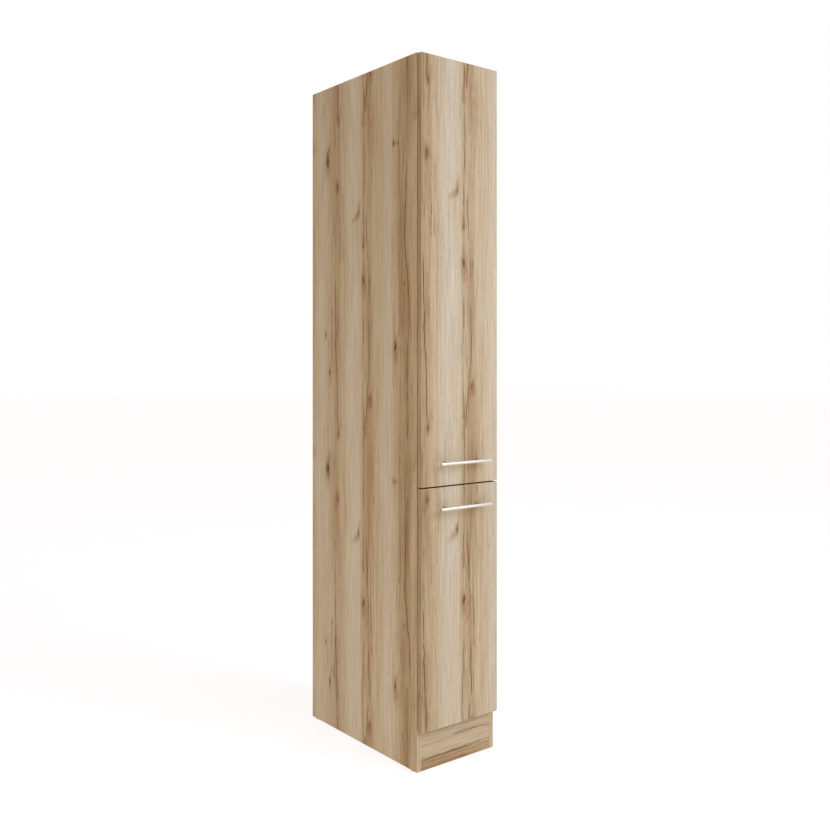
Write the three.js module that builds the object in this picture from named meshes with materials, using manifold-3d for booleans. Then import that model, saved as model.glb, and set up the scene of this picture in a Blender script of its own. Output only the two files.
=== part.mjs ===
// Tall pull-out pantry cabinet: a narrow chipboard carcass, with two larder pull-outs behind wide fronts.
// Millimetres, +Z up. The origin is at the middle of the object's footprint, on the floor; fronts face -Y.
import * as THREE from "three";
import { mergeVertices } from "three/addons/utils/BufferGeometryUtils.js";
import Module from "manifold-3d";

const wasm = await Module();
wasm.setup();

// ---------------------------------------------------------------- driving dimensions
const WIDTH = 300; // over the two side panels
const HEIGHT = 2070; // floor to the top of the side panels
const CARCASS_DEPTH = 550;
const BOARD = 16; // chipboard thickness of panels and fronts
const PLINTH_HEIGHT = 120; // floor to the underside of the bottom panel
const SHELF_LEVEL = 820; // middle of the fixed shelf and of the gap between the fronts
const FRONT_GAP = 4; // between the two fronts
const BUMPER_GAP = 3; // between a front and the carcass edge
const SIDE_REVEAL = 1.5; // the fronts are this much narrower than the carcass at each side
const TOP_REVEAL = 3;
const GLIDE_HEIGHT = 3;
const FIT = 0.3; // clearance between pieces that touch

const BAR_RADIUS = 5; // handle bar
const BAR_LENGTH = 196;
const BAR_STANDOFF = 28; // front face to the bar's centre line
const POST_PITCH = 128; // between the two handle posts
const UPPER_BAR_LEVEL = SHELF_LEVEL + 68;
const LOWER_BAR_LEVEL = SHELF_LEVEL - 62;

const RUNNER_LENGTH = 450;
const RUNNER_HEIGHT = 45;
const RUNNER_DEPTH = 12.7; // side panel to the face that the carriage is fixed to
const SHEET = 1.5; // sheet-steel thickness of the carriages and guide channels
const TRAY_WIDTH = 236;
const TRAY_BASE = 10; // tray board thickness
const GALLERY_HEIGHT = 84; // tray board to the top of the gallery's rim

// Heights above the floor of the compartment.
const UPPER_TRAYS = [30, 420, 810];
const LOWER_TRAYS = [30, 335];
const UPPER_BRACKETS = [200, 1040];
const LOWER_BRACKETS = [180, 500];

// ---------------------------------------------------------------- places that follow from them
const TOTAL_DEPTH = CARCASS_DEPTH + BUMPER_GAP + BOARD + BAR_STANDOFF + BAR_RADIUS;
const BACK_Y = TOTAL_DEPTH / 2;
const CARCASS_Y = BACK_Y - CARCASS_DEPTH; // front edges of the carcass
const FRONT_BACK_Y = CARCASS_Y - BUMPER_GAP;
const FRONT_FACE_Y = FRONT_BACK_Y - BOARD;
const BAR_Y = FRONT_FACE_Y - BAR_STANDOFF;
const SIDE_X = WIDTH / 2;
const INNER_X = SIDE_X - BOARD;
const FRONT_X = SIDE_X - SIDE_REVEAL;

const LOWER_FLOOR = PLINTH_HEIGHT + BOARD;
const LOWER_CEILING = SHELF_LEVEL - BOARD / 2;
const UPPER_FLOOR = SHELF_LEVEL + BOARD / 2;
const UPPER_CEILING = HEIGHT - BOARD;
const SIDES = { left: -1, right: 1 };

// ---------------------------------------------------------------- finishes
const finish = (color, roughness, metalness) => () =>
  new THREE.MeshStandardMaterial({ color, roughness, metalness });
const beechDecor = finish(0xc9b08e, 0.55, 0);
const whiteBoard = finish(0xe9e8e4, 0.6, 0);
const hardboard = finish(0xdcdad4, 0.7, 0);
const brushedSteel = finish(0xd6d4cf, 0.3, 1);
const zincedSteel = finish(0xb4b8bb, 0.38, 1);
const greyPaint = finish(0xb9bcbe, 0.45, 0.6);
const chrome = finish(0xdfe2e4, 0.12, 1);
const greyPlastic = finish(0x8e9092, 0.55, 0);
const blackPlastic = finish(0x222222, 0.6, 0);

// ---------------------------------------------------------------- geometry helpers
const pantry = new THREE.Group();

function add(name, geometry, material) {
  const mesh = new THREE.Mesh(geometry, material());
  mesh.name = name;
  pantry.add(mesh);
}

function box(x0, x1, y0, y1, z0, z1) {
  const block = new THREE.BoxGeometry(x1 - x0, y1 - y0, z1 - z0);
  return block.translate((x0 + x1) / 2, (y0 + y1) / 2, (z0 + z1) / 2);
}

const outline = (points) => new THREE.Shape(points.map(([a, b]) => new THREE.Vector2(a, b)));

function extruded(shape, depth) {
  return new THREE.ExtrudeGeometry(shape, { depth, bevelEnabled: false, curveSegments: 4 });
}

// The outline is in (x, y), and the prism stands along Z.
const planPrism = (shape, z0, z1) => extruded(shape, z1 - z0).translate(0, 0, z0);

// The outline is in (x, z), and the prism lies along Y.
const sectionPrism = (shape, y0, y1) =>
  extruded(shape, y1 - y0)
    .rotateX(Math.PI / 2)
    .translate(0, y1, 0);

// The outline is in (y, z), and the prism lies along X.
const PROFILE_TO_SPACE = new THREE.Matrix4().makeBasis(
  new THREE.Vector3(0, 1, 0),
  new THREE.Vector3(0, 0, 1),
  new THREE.Vector3(1, 0, 0),
);
const profilePrism = (shape, x0, x1) =>
  extruded(shape, x1 - x0)
    .applyMatrix4(PROFILE_TO_SPACE)
    .translate(x0, 0, 0);

// A turned piece about an axis along X, Y or Z. The profile is [radius, position along the axis] pairs.
function turned(axis, centre, profile, sides) {
  const points = profile.map(([radius, along]) => new THREE.Vector2(radius, along));
  const lathe = new THREE.LatheGeometry(points, sides);
  if (axis === "x") lathe.rotateZ(-Math.PI / 2);
  if (axis === "z") lathe.rotateX(Math.PI / 2);
  return lathe.translate(...centre);
}

const rod = (axis, centre, radius, from, to, sides) =>
  turned(axis, centre, [[0, from], [radius, from], [radius, to], [0, to]], sides);

// A path through points, with one step for each stretch between two of them.
class PointPath extends THREE.Curve {
  constructor(points) {
    super();
    this.points = points;
  }
  getUtoTmapping(u) {
    return u;
  }
  getPoint(t, target = new THREE.Vector3()) {
    const along = t * (this.points.length - 1);
    const start = Math.min(Math.floor(along), this.points.length - 2);
    return target.lerpVectors(this.points[start], this.points[start + 1], along - start);
  }
}

function wire(points, radius, sides) {
  const section = new THREE.Shape().absarc(0, 0, radius, 0, 2 * Math.PI);
  return new THREE.ExtrudeGeometry(section, {
    steps: points.length - 1,
    curveSegments: sides / 2,
    extrudePath: new PointPath(points),
  });
}

function solid(geometry) {
  const bare = geometry.clone();
  bare.deleteAttribute("normal");
  bare.deleteAttribute("uv");
  const merged = mergeVertices(bare, 1e-3);
  return new wasm.Manifold(
    new wasm.Mesh({
      numProp: 3,
      vertProperties: merged.attributes.position.array,
      triVerts: new Uint32Array(merged.index.array),
    }),
  );
}

function geometryOf(manifold) {
  const { vertProperties, triVerts } = manifold.getMesh();
  return new THREE.BufferGeometry()
    .setAttribute("position", new THREE.BufferAttribute(vertProperties, 3))
    .setIndex(new THREE.BufferAttribute(triVerts, 1));
}

const joined = (pieces) => geometryOf(pieces.map(solid).reduce((whole, piece) => whole.add(piece)));
const cut = (piece, cutters) =>
  geometryOf(cutters.map(solid).reduce((whole, cutter) => whole.subtract(cutter), solid(piece)));

// Adds to half an outline the other half, in which the chosen coordinate (0 or 1) changes sign.
function mirrored(half, coordinate) {
  const flip = (point) => point.map((value, i) => (i === coordinate ? -value : value));
  return [...half, ...half.map(flip).reverse()];
}

// ---------------------------------------------------------------- carcass
const GROOVE_DEPTH = 8;
const BACK_THICKNESS = 3;
const BACK_INSET = 10; // rear edge of the side panels to the back of the back panel
const BACK_PANEL_Y1 = BACK_Y - BACK_INSET;
const BACK_PANEL_Y0 = BACK_PANEL_Y1 - BACK_THICKNESS;
const BACK_PANEL_X = INNER_X + GROOVE_DEPTH - 1;
const PANEL_REAR = BACK_PANEL_Y0 - FIT;

// The groove for the back panel runs the side panel's full height.
function sidePanel(side) {
  const grooveEnd = INNER_X + GROOVE_DEPTH;
  const corners = [
    [SIDE_X, CARCASS_Y],
    [SIDE_X, BACK_Y],
    [INNER_X, BACK_Y],
    [INNER_X, BACK_PANEL_Y1 + FIT],
    [grooveEnd, BACK_PANEL_Y1 + FIT],
    [grooveEnd, PANEL_REAR],
    [INNER_X, PANEL_REAR],
    [INNER_X, CARCASS_Y],
  ];
  return planPrism(outline(corners.map(([x, y]) => [side * x, y])), GLIDE_HEIGHT, HEIGHT);
}

// Two thin boards make the back. They meet in an H-section strip behind the fixed shelf.
const STRIP_WEB = 2;
const STRIP_WALL = 1.3;
const STRIP_HALF_HEIGHT = 12;
const STRIP_FRONT = PANEL_REAR - STRIP_WALL;

function backPanel(z0, z1) {
  return box(-BACK_PANEL_X, BACK_PANEL_X, BACK_PANEL_Y0, BACK_PANEL_Y1, z0, z1);
}

function jointStrip() {
  const rear = BACK_PANEL_Y1 + FIT;
  const upperHalf = [
    [rear + STRIP_WALL, STRIP_HALF_HEIGHT],
    [rear, STRIP_HALF_HEIGHT],
    [rear, STRIP_WEB / 2],
    [PANEL_REAR, STRIP_WEB / 2],
    [PANEL_REAR, STRIP_HALF_HEIGHT],
    [STRIP_FRONT, STRIP_HALF_HEIGHT],
  ];
  const strip = profilePrism(outline(mirrored(upperHalf, 1)), -INNER_X + FIT, INNER_X - FIT);
  return strip.translate(0, 0, SHELF_LEVEL);
}

// Nail-on glides under the ends of the side panels.
const GLIDE_RADIUS = 7;
const GLIDE_ROUNDING = 1;
const GLIDE_INSET = 25;

function floorGlide(x, y) {
  const profile = [
    [0, 0],
    [GLIDE_RADIUS - GLIDE_ROUNDING, 0],
    [GLIDE_RADIUS, GLIDE_ROUNDING],
    [GLIDE_RADIUS, GLIDE_HEIGHT],
    [0, GLIDE_HEIGHT],
  ];
  return turned("z", [x, y, 0], profile, 16);
}

function carcass() {
  const across = (z0, z1, rear) => box(-INNER_X, INNER_X, CARCASS_Y, rear, z0, z1);
  const backSplit = STRIP_WEB / 2 + FIT;
  add("top_panel", across(UPPER_CEILING, HEIGHT, PANEL_REAR), beechDecor);
  add("middle_shelf", across(LOWER_CEILING, UPPER_FLOOR, STRIP_FRONT - FIT), beechDecor);
  add("bottom_panel", across(PLINTH_HEIGHT, LOWER_FLOOR, PANEL_REAR), beechDecor);
  add("plinth_board", across(GLIDE_HEIGHT, PLINTH_HEIGHT, CARCASS_Y + BOARD), beechDecor);
  add("back_panel_lower", backPanel(PLINTH_HEIGHT - BOARD, SHELF_LEVEL - backSplit), hardboard);
  add("back_panel_upper", backPanel(SHELF_LEVEL + backSplit, HEIGHT - GROOVE_DEPTH / 2), hardboard);
  add("back_joint_strip", jointStrip(), whiteBoard);
  const glideEnds = { front: CARCASS_Y + GLIDE_INSET, rear: BACK_Y - GLIDE_INSET };
  for (const [sideName, side] of Object.entries(SIDES)) {
    add(`${sideName}_side_panel`, sidePanel(side), beechDecor);
    for (const [endName, y] of Object.entries(glideEnds))
      add(`floor_glide_${sideName}_${endName}`, floorGlide(side * (SIDE_X - BOARD / 2), y), blackPlastic);
  }
}

// ---------------------------------------------------------------- fronts and handles
const SCREW_RADIUS = 2;
const SCREW_HOLE = 2.5;
const SCREW_HEAD_RADIUS = 4;
const SCREW_HEAD_TOP = FRONT_BACK_Y + 2.4;
const SCREW_TIP = FRONT_FACE_Y - 12;
const POST_RADIUS = 4;
const BAR_CHAMFER = 0.8;
const PAST = 5; // a cutter runs this far past the faces it goes through

function handleBar(z) {
  const half = BAR_LENGTH / 2;
  const profile = [
    [0, -half],
    [BAR_RADIUS - BAR_CHAMFER, -half],
    [BAR_RADIUS, -half + BAR_CHAMFER],
    [BAR_RADIUS, half - BAR_CHAMFER],
    [BAR_RADIUS - BAR_CHAMFER, half],
    [0, half],
  ];
  return turned("x", [0, BAR_Y, z], profile, 20);
}

// The post is saddled to the bar and bored for its screw.
function handlePost(x, z) {
  const post = rod("y", [x, 0, z], POST_RADIUS, BAR_Y, FRONT_FACE_Y - FIT, 16);
  const saddle = rod("x", [x, BAR_Y, z], BAR_RADIUS + FIT, -2 * POST_RADIUS, 2 * POST_RADIUS, 20);
  const bore = rod("y", [x, 0, z], SCREW_RADIUS + FIT, SCREW_TIP - 1, FRONT_FACE_Y + PAST, 12);
  return cut(post, [saddle, bore]);
}

function handleScrew(x, z) {
  const profile = [
    [0, SCREW_TIP],
    [SCREW_RADIUS, SCREW_TIP],
    [SCREW_RADIUS, FRONT_BACK_Y + FIT],
    [SCREW_HEAD_RADIUS, FRONT_BACK_Y + FIT],
    [SCREW_HEAD_RADIUS / 2, SCREW_HEAD_TOP],
    [0, SCREW_HEAD_TOP],
  ];
  return turned("y", [x, 0, z], profile, 12);
}

function frontWithHandle(name, z0, z1, barLevel) {
  const postX = (side) => (side * POST_PITCH) / 2;
  const screwHole = (side) =>
    rod("y", [postX(side), 0, barLevel], SCREW_HOLE, FRONT_FACE_Y - PAST, FRONT_BACK_Y + PAST, 12);
  const board = box(-FRONT_X, FRONT_X, FRONT_FACE_Y, FRONT_BACK_Y, z0, z1);
  add(`${name}_front`, cut(board, Object.values(SIDES).map(screwHole)), beechDecor);
  add(`${name}_handle_bar`, handleBar(barLevel), brushedSteel);
  for (const [sideName, side] of Object.entries(SIDES)) {
    add(`${name}_handle_post_${sideName}`, handlePost(postX(side), barLevel), brushedSteel);
    add(`${name}_handle_screw_${sideName}`, handleScrew(postX(side), barLevel), zincedSteel);
  }
}

// ---------------------------------------------------------------- telescopic runners
// Three nested channels at each side. Distances run inwards from the side panel's face: web gives the web's
// two faces, the outer one first, and lip is where the flanges end. half is half of the channel's height.
const RAIL_WALL = 1.3;
const RUNNER_START = CARCASS_Y + 5;
const RAILS = {
  cabinet: { web: [0, RAIL_WALL], lip: 9.4, half: RUNNER_HEIGHT / 2 },
  middle: { web: [3, 3 + RAIL_WALL], lip: 9.4, half: RUNNER_HEIGHT / 2 - 3.2 },
  carriage: { web: [RUNNER_DEPTH, RUNNER_DEPTH - RAIL_WALL], lip: 5.6, half: RUNNER_HEIGHT / 2 - 6.6 },
};

function rail({ web: [outer, inner], lip, half }, side, level) {
  const upperHalf = [
    [outer, half],
    [lip, half],
    [lip, half - RAIL_WALL],
    [inner, half - RAIL_WALL],
  ];
  const corners = mirrored(upperHalf, 1).map(([inwards, z]) => [side * (INNER_X - inwards), level + z]);
  return sectionPrism(outline(corners), RUNNER_START, RUNNER_START + RUNNER_LENGTH);
}

// ---------------------------------------------------------------- larder pull-out behind each front
const RUNNER_CLEAR = 6.5; // compartment floor to the runner's underside
const PAN_CLEAR = 7; // compartment floor to the carriage's underside
const PAN_FLANGE = 43;
const PAN_START = CARCASS_Y + 8;
const PAN_LENGTH = 490;
const PAN_X = INNER_X - RUNNER_DEPTH - 0.1;
const HOOP_START = CARCASS_Y + 11;
const HOOP_END = HOOP_START + 485;
const HOOP_TUBE = 15; // across the tube, in the hoop's plane
const HOOP_HALF_WIDTH = 15;
const HOOP_CORNER = 22;
const GUIDE_HEIGHT = 12;
const GUIDE_HALF_WIDTH = 10;
const GUIDE_START = CARCASS_Y + 2;
const GUIDE_LENGTH = 500;
const GUIDE_TO_HOOP = 10;
const BLOCK_LENGTH = 20;

// Guide channel under the compartment's ceiling, open downwards.
function guideRail(ceiling) {
  const rightHalf = [
    [GUIDE_HALF_WIDTH, ceiling],
    [GUIDE_HALF_WIDTH, ceiling - GUIDE_HEIGHT],
    [GUIDE_HALF_WIDTH - SHEET, ceiling - GUIDE_HEIGHT],
    [GUIDE_HALF_WIDTH - SHEET, ceiling - SHEET],
  ];
  return sectionPrism(outline(mirrored(rightHalf, 0)), GUIDE_START, GUIDE_START + GUIDE_LENGTH);
}

// Nylon block on the hoop's rear end that runs inside the guide channel.
function guideBlock(hoopTop, ceiling) {
  const half = GUIDE_HALF_WIDTH - SHEET - FIT;
  const rear = HOOP_END - HOOP_CORNER;
  return box(-half, half, rear - BLOCK_LENGTH, rear, hoopTop, ceiling - 2 * SHEET);
}

// Sheet-steel carriage: a floor with a flange up each side, which the runners carry.
function carriagePan(floor) {
  const rightHalf = [
    [PAN_X, floor],
    [PAN_X, floor + PAN_FLANGE],
    [PAN_X - SHEET, floor + PAN_FLANGE],
    [PAN_X - SHEET, floor + SHEET],
  ];
  return sectionPrism(outline(mirrored(rightHalf, 0)), PAN_START, PAN_START + PAN_LENGTH);
}

// Hoop of flat tube that stands on the carriage: two uprights and the rail over them.
function hoopFrame(foot, top) {
  const innerCorner = HOOP_CORNER - HOOP_TUBE;
  const frontBend = HOOP_START + HOOP_CORNER;
  const rearBend = HOOP_END - HOOP_CORNER;
  const bendLevel = top - HOOP_CORNER;
  const quarter = Math.PI / 2;
  const shape = new THREE.Shape()
    .moveTo(HOOP_START, foot)
    .lineTo(HOOP_START + HOOP_TUBE, foot)
    .lineTo(HOOP_START + HOOP_TUBE, bendLevel)
    .absarc(frontBend, bendLevel, innerCorner, 2 * quarter, quarter, true)
    .absarc(rearBend, bendLevel, innerCorner, quarter, 0, true)
    .lineTo(HOOP_END - HOOP_TUBE, foot)
    .lineTo(HOOP_END, foot)
    .lineTo(HOOP_END, bendLevel)
    .absarc(rearBend, bendLevel, HOOP_CORNER, 0, quarter, false)
    .absarc(frontBend, bendLevel, HOOP_CORNER, quarter, 2 * quarter, false);
  return profilePrism(shape, -HOOP_HALF_WIDTH, HOOP_HALF_WIDTH);
}

// Hat-section bracket: its plate is screwed to the front, and its two flanges grip the hoop's front upright.
const BRACKET_SHEET = 2;
const BRACKET_HEIGHT = 70;
const BRACKET_WING = 45;

function frontBracket(level) {
  const grip = HOOP_HALF_WIDTH + FIT;
  const outside = grip + BRACKET_SHEET;
  const plateRear = FRONT_BACK_Y + BRACKET_SHEET;
  const flangeRear = HOOP_START + HOOP_TUBE - 1;
  const rightHalf = [
    [BRACKET_WING, FRONT_BACK_Y],
    [BRACKET_WING, plateRear],
    [outside, plateRear],
    [outside, flangeRear],
    [grip, flangeRear],
    [grip, plateRear],
  ];
  const shape = outline(mirrored(rightHalf, 0));
  return planPrism(shape, level - BRACKET_HEIGHT / 2, level + BRACKET_HEIGHT / 2);
}

// ---------------------------------------------------------------- trays
const TRAY_CLEAR = 1.5; // tray edge to the hoop's uprights
const TRAY_START = HOOP_START + HOOP_TUBE + TRAY_CLEAR;
const TRAY_END = HOOP_END - HOOP_TUBE - TRAY_CLEAR;
const TRAY_CORNER = 18;

// A rectangle with round corners, drawn anticlockwise. It starts and ends at the gap in its front edge.
function roundedLoop(path, halfX, y0, y1, radius, halfGap) {
  const quarter = Math.PI / 2;
  return path
    .moveTo(halfGap, y0)
    .lineTo(halfX - radius, y0)
    .absarc(halfX - radius, y0 + radius, radius, -quarter, 0, false)
    .absarc(halfX - radius, y1 - radius, radius, 0, quarter, false)
    .absarc(-halfX + radius, y1 - radius, radius, quarter, 2 * quarter, false)
    .absarc(-halfX + radius, y0 + radius, radius, 2 * quarter, 3 * quarter, false)
    .lineTo(-halfGap, y0);
}

function trayBase(level) {
  const shape = roundedLoop(new THREE.Shape(), TRAY_WIDTH / 2, TRAY_START, TRAY_END, TRAY_CORNER, 0);
  return planPrism(shape, level, level + TRAY_BASE);
}

// Welded wire gallery that stands on the tray board: a rim, a thinner wire half way up, stays along the
// sides, and a hanger plate at each end that bears on the hoop's upright.
const RIM_WIRE = 3;
const THIN_WIRE = 2;
const WIRE_INSET = RIM_WIRE; // tray edge to the wires' centre line
const GALLERY_X = TRAY_WIDTH / 2 - WIRE_INSET;
const GALLERY_START = TRAY_START + WIRE_INSET;
const GALLERY_END = TRAY_END - WIRE_INSET;
const WELD_GAP = 2;
const STAY_PLACES = [0.06, 0.35, 0.65, 0.94]; // shares of the gallery's length
const STAY_INSET = 2; // the stays are welded to the inside of the wires
const HANGER_HALF_WIDTH = 22;
const HANGER_DROP = 8; // hanger plate's lower edge under the middle wire
const HANGER_THICKNESS = 3.2;

// The loop's two ends meet in a weld bead.
function wireLoop(radius, level) {
  const corner = TRAY_CORNER - WIRE_INSET;
  const loop = roundedLoop(new THREE.Path(), GALLERY_X, GALLERY_START, GALLERY_END, corner, WELD_GAP);
  const points = loop.getPoints(1).map(({ x, y }) => new THREE.Vector3(x, y, level));
  const bead = rod("x", [0, GALLERY_START, level], radius + FIT, -2 * WELD_GAP, 2 * WELD_GAP, 8);
  return joined([wire(points, radius, 6), bead]);
}

function trayGallery(board) {
  const rimLevel = board + GALLERY_HEIGHT - RIM_WIRE;
  const middleLevel = board + GALLERY_HEIGHT / 2;
  const weldLevel = rimLevel + RIM_WIRE / 3;
  const stay = (side, share) => {
    const y = GALLERY_START + share * (GALLERY_END - GALLERY_START);
    return rod("z", [side * (GALLERY_X - STAY_INSET), y, 0], THIN_WIRE, board, weldLevel, 6);
  };
  const stays = Object.values(SIDES).flatMap((side) => STAY_PLACES.map((share) => stay(side, share)));
  const low = middleLevel - HANGER_DROP;
  const hanger = (y) =>
    box(-HANGER_HALF_WIDTH, HANGER_HALF_WIDTH, y, y + HANGER_THICKNESS, low, weldLevel);
  const reach = WIRE_INSET + TRAY_CLEAR - FIT;
  const hangers = [hanger(GALLERY_START - reach), hanger(GALLERY_END + reach - HANGER_THICKNESS)];
  const loops = [wireLoop(RIM_WIRE, rimLevel), wireLoop(THIN_WIRE, middleLevel)];
  return joined([...loops, ...stays, ...hangers]);
}

// ---------------------------------------------------------------- one pull-out in its compartment
function larderPullOut(name, floor, ceiling, trays, brackets) {
  const runnerLevel = floor + RUNNER_CLEAR + RUNNER_HEIGHT / 2;
  for (const [sideName, side] of Object.entries(SIDES))
    for (const [railName, section] of Object.entries(RAILS))
      add(`${name}_${railName}_rail_${sideName}`, rail(section, side, runnerLevel), zincedSteel);

  const hoopTop = ceiling - GUIDE_HEIGHT - GUIDE_TO_HOOP;
  add(`${name}_carriage_pan`, carriagePan(floor + PAN_CLEAR), greyPaint);
  add(`${name}_hoop_frame`, hoopFrame(floor + PAN_CLEAR + SHEET, hoopTop), greyPaint);
  add(`${name}_guide_rail`, guideRail(ceiling), zincedSteel);
  add(`${name}_guide_block`, guideBlock(hoopTop, ceiling), greyPlastic);
  add(`${name}_front_bracket_low`, frontBracket(floor + brackets[0]), zincedSteel);
  add(`${name}_front_bracket_high`, frontBracket(floor + brackets[1]), zincedSteel);
  trays.forEach((height, i) => {
    add(`${name}_tray_base_${i + 1}`, trayBase(floor + height), whiteBoard);
    add(`${name}_tray_gallery_${i + 1}`, trayGallery(floor + height + TRAY_BASE), chrome);
  });
}

// ---------------------------------------------------------------- assembly
carcass();
frontWithHandle("lower", PLINTH_HEIGHT, SHELF_LEVEL - FRONT_GAP / 2, LOWER_BAR_LEVEL);
frontWithHandle("upper", SHELF_LEVEL + FRONT_GAP / 2, HEIGHT - TOP_REVEAL, UPPER_BAR_LEVEL);
larderPullOut("lower", LOWER_FLOOR, LOWER_CEILING, LOWER_TRAYS, LOWER_BRACKETS);
larderPullOut("upper", UPPER_FLOOR, UPPER_CEILING, UPPER_TRAYS, UPPER_BRACKETS);

export default pantry;
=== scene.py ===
# Looks of the pull-out pantry cabinet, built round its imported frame. Metres, +Z up, and the fronts face -Y.
import math

import bmesh
import bpy
from mathutils import Matrix, Vector


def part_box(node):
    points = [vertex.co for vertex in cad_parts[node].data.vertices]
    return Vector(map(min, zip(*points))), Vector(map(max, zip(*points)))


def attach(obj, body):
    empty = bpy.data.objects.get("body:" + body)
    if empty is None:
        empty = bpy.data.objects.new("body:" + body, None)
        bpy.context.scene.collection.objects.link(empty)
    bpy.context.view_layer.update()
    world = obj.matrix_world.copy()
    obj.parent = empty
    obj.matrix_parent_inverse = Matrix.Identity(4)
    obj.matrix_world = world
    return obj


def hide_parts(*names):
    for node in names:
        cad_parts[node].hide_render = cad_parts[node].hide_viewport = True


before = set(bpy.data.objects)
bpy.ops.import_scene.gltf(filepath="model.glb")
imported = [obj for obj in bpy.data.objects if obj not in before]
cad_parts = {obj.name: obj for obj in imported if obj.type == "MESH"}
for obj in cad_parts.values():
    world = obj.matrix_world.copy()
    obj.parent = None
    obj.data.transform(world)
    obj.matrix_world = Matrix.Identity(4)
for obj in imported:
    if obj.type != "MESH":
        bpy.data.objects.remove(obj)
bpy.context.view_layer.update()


# ------------------------------------------------------------------------------ camera
# The eye is at chest height, well to the left of the cabinet, and looks level, so all uprights stay upright.
# The two bearings are measured from straight in front: where the eye stands, and where it looks.
EYE_HEIGHT = 1.1846
EYE_DISTANCE = 2.9908
EYE_BEARING = math.radians(38.32)
LOOK_BEARING = math.radians(37.80)

camera = bpy.data.objects.new("camera", bpy.data.cameras.new("camera"))
camera.location = (
    -EYE_DISTANCE * math.sin(EYE_BEARING),
    -EYE_DISTANCE * math.cos(EYE_BEARING),
    EYE_HEIGHT,
)
camera.rotation_euler = (math.pi / 2, 0, -LOOK_BEARING)
camera.data.sensor_width = 36
camera.data.lens = 40.88
camera.data.shift_x = 0.0235
camera.data.shift_y = -0.0652
bpy.context.scene.collection.objects.link(camera)
bpy.context.scene.camera = camera
bpy.context.scene.view_settings.view_transform = "Standard"


# ------------------------------------------------------------------------------ studio
# A pale floor that looks white and throws back a little warm light, white surroundings, a large soft key
# light before the fronts, and a weak warm light from the side.
class Wire:
    """A socket of a node tree. Python's operators on it add Math nodes."""

    def __init__(self, tree, socket=None):
        self.tree = tree
        self.socket = socket

    def node(self, kind, settings=None, sockets=None, output=0):
        """Adds a node. Its settings are set first, and then the values or links of its sockets."""
        made = self.tree.nodes.new("ShaderNode" + kind)
        for name, value in (settings or {}).items():
            setattr(made, name, value)
        for name, value in (sockets or {}).items():
            if isinstance(value, Wire):
                self.tree.links.new(value.socket, made.inputs[name])
            else:
                made.inputs[name].default_value = value
        return Wire(self.tree, made.outputs[output])

    def maths(self, operation, *values):
        return self.node("Math", {"operation": operation}, dict(enumerate(values)))

    def __add__(self, other):
        return self.maths("ADD", self, other)

    def __sub__(self, other):
        return self.maths("SUBTRACT", self, other)

    def __rsub__(self, other):
        return self.maths("SUBTRACT", other, self)

    def __mul__(self, other):
        return self.maths("MULTIPLY", self, other)

    def __truediv__(self, other):
        return self.maths("DIVIDE", self, other)

    __radd__ = __add__
    __rmul__ = __mul__

    def size(self):
        """This value without its sign."""
        return self.maths("ABSOLUTE", self)

    def at_most(self, limit):
        return self.maths("MINIMUM", self, limit)

    def rise(self, low, high):
        """0 below low, 1 above high, and a smooth step between them."""
        settings = {"interpolation_type": "SMOOTHSTEP"}
        return self.node("MapRange", settings, {"Value": self, "From Min": low, "From Max": high})

    def curve(self, points):
        """The value of a smooth curve through these points. Both of their numbers run from 0 to 1."""
        wire = self.node("FloatCurve", None, {"Value": self})
        mapping = wire.socket.node.mapping
        mapping.extend = "HORIZONTAL"
        line = mapping.curves[0].points
        line[0].location, line[1].location = points[0], points[-1]
        for point in points[1:-1]:
            line.new(*point)
        mapping.update()
        return wire

    def ramp(self, *stops):
        """The colour of a ramp with these stops, each a place from 0 to 1 and a colour."""
        wire = self.node("ValToRGB", None, {"Fac": self})
        elements = wire.socket.node.color_ramp.elements
        for where, _ in stops[1:-1]:
            elements.new(where)
        for element, (where, tone) in zip(elements, stops):
            element.position, element.color = where, tone
        return wire

    def mix(self, first, second):
        """Mixes two colours by this value: 0 gives the first, and 1 the second."""
        return self.node("Mix", {"data_type": "RGBA"}, {0: self, 6: first, 7: second}, 2)

    def brighter(self, factor):
        """This colour times a factor."""
        return self.node("VectorMath", {"operation": "SCALE"}, {0: self, "Scale": factor})


def new_paint(name):
    """An empty material, its shader, and a wire that starts its node tree."""
    material = bpy.data.materials.new(name)
    material.use_nodes = True
    tree = material.node_tree
    return material, tree.nodes["Principled BSDF"], Wire(tree)


def connect(shader, **values):
    """Sets or links the shader's inputs. An underscore in a name stands for a space."""
    for name, value in values.items():
        socket = shader.inputs[name.replace("_", " ")]
        if isinstance(value, Wire):
            value.tree.links.new(value.socket, socket)
        else:
            socket.default_value = value


def colour(red, green, blue):
    """A colour given as 0-255 screen values, as Blender's linear values."""
    linear = [((value / 255 + 0.055) / 1.055) ** 2.4 for value in (red, green, blue)]
    return (*linear, 1.0)


WARM_GLOW = (0.67, 0.62, 0.55, 1.0)
WHITE_GLOW = (0.73, 0.735, 0.77, 1.0)


def floor_paint():
    """Pale matt paint. It glows white to the camera and a little warmer and weaker on the cabinet."""
    material, shader, start = new_paint("studio_floor")
    place = start.node("TexCoord", None, None, "Object")
    cloud = start.node("TexNoise", None, {"Vector": place, "Scale": 3.0, "Detail": 2.0})
    connect(shader, Base_Color=cloud.mix(colour(192, 195, 200), colour(198, 201, 206)), Roughness=0.9)
    glow = start.node("LightPath", None, None, "Is Camera Ray").mix(WARM_GLOW, WHITE_GLOW)
    connect(shader, Specular_IOR_Level=0.1, Emission_Color=glow, Emission_Strength=1.0)
    return material


floor_mesh = bpy.data.meshes.new("studio_floor")
floor_shape = bmesh.new()
bmesh.ops.create_grid(floor_shape, x_segments=1, y_segments=1, size=30)
floor_shape.to_mesh(floor_mesh)
floor_shape.free()
floor_mesh.materials.append(floor_paint())
floor = bpy.data.objects.new("studio_floor", floor_mesh)
bpy.context.scene.collection.objects.link(floor)


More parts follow.
